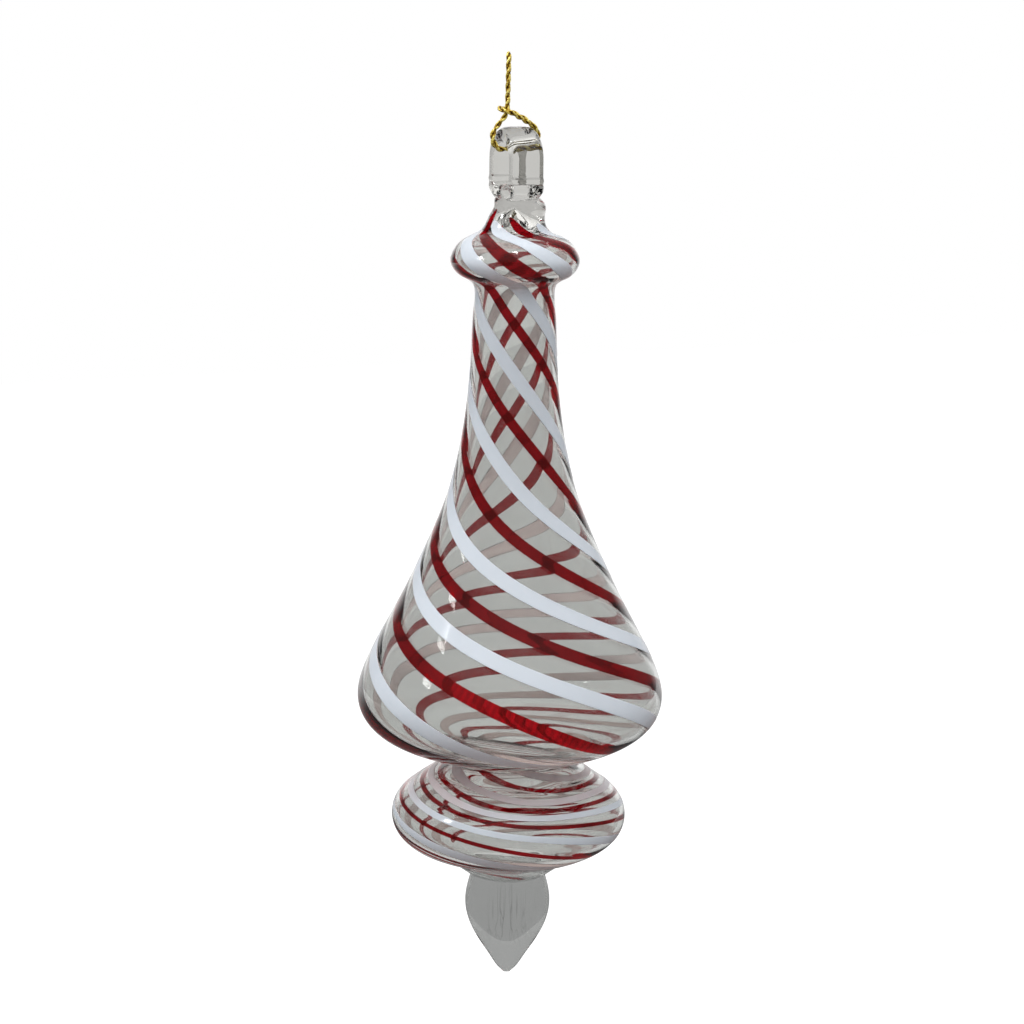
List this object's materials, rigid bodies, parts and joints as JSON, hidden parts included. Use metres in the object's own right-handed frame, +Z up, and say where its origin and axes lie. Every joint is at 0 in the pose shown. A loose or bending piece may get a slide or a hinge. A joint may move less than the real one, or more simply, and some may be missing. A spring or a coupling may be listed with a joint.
{
  "type": "glass finial ornament",
  "caption": "Hand-blown clear glass finial ornament with a bell and a disc, spiral white and red canes, a clear eye and leaf drop, and a gold cord loop.",
  "frame": {"origin": "where a hook bears, inside the top of the cord loop", "axes": "+Z up along the hanging glass; the hole of the glass eye runs along X"},
  "size_m": [0.0585, 0.0586, 0.1781],
  "materials": {
    "clear_glass": "clear, polished by fire",
    "white_glass": "opaque white, glossy",
    "red_glass": "deep red, translucent, glossy",
    "gold_cord": "twisted metallic gold thread"
  },
  "bodies": {
    "root": {"glass_body": "clear_glass", "white_canes": "white_glass", "red_canes": "red_glass", "hanging_eye": "clear_glass", "glass_drop": "clear_glass", "hanging_cord": "gold_cord"}
  },
  "joints": []
}
